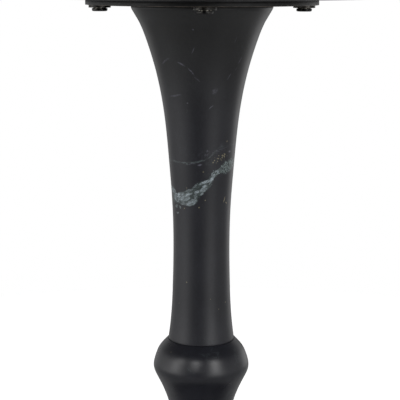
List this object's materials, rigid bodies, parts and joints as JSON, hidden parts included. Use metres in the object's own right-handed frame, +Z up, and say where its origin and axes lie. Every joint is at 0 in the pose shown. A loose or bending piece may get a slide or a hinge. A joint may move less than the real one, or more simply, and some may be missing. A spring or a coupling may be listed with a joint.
{
  "type": "round pedestal table",
  "caption": "Round pedestal side table in black marble: disc top on a steel plate, trumpet column, turned knop and flared round base, clamped on a hidden tie rod.",
  "frame": {"origin": "on the floor, on the table's vertical axis", "axes": "+Z up along the column, +X and +Y through the mounting bolts"},
  "size_m": [0.3999, 0.4, 0.635],
  "materials": {
    "black_marble": "honed, softly satin",
    "black_painted_steel": "satin powder coat",
    "blackened_steel": "black oxide, oiled",
    "zinc_steel": "bright zinc plate",
    "insert_brass": "as machined",
    "black_rubber": "matt",
    "foot_rubber": "matt, fine grain",
    "cover_plastic": "fine moulded texture",
    "white_nylon": "as moulded"
  },
  "bodies": {
    "root": {"table_top": "black_marble", "column": "black_marble", "knop": "black_marble", "base": "black_marble", "threaded_inserts": "insert_brass", "top_gasket": "black_rubber", "column_joint_ring": "black_rubber", "clamp_pad": "black_rubber", "mounting_plate": "black_painted_steel", "plate_hub": "black_painted_steel", "mounting_bolts": "blackened_steel", "flat_washers": "blackened_steel", "lock_washers": "blackened_steel", "upper_centring_bush": "white_nylon", "lower_centring_bush": "white_nylon", "tie_rod": "zinc_steel", "clamp_washer": "zinc_steel", "rod_lock_washer": "zinc_steel", "rod_nut": "zinc_steel", "recess_cover": "cover_plastic", "foot_pad_1": "foot_rubber", "foot_pad_2": "foot_rubber", "foot_pad_3": "foot_rubber", "foot_pad_4": "foot_rubber"}
  },
  "joints": []
}
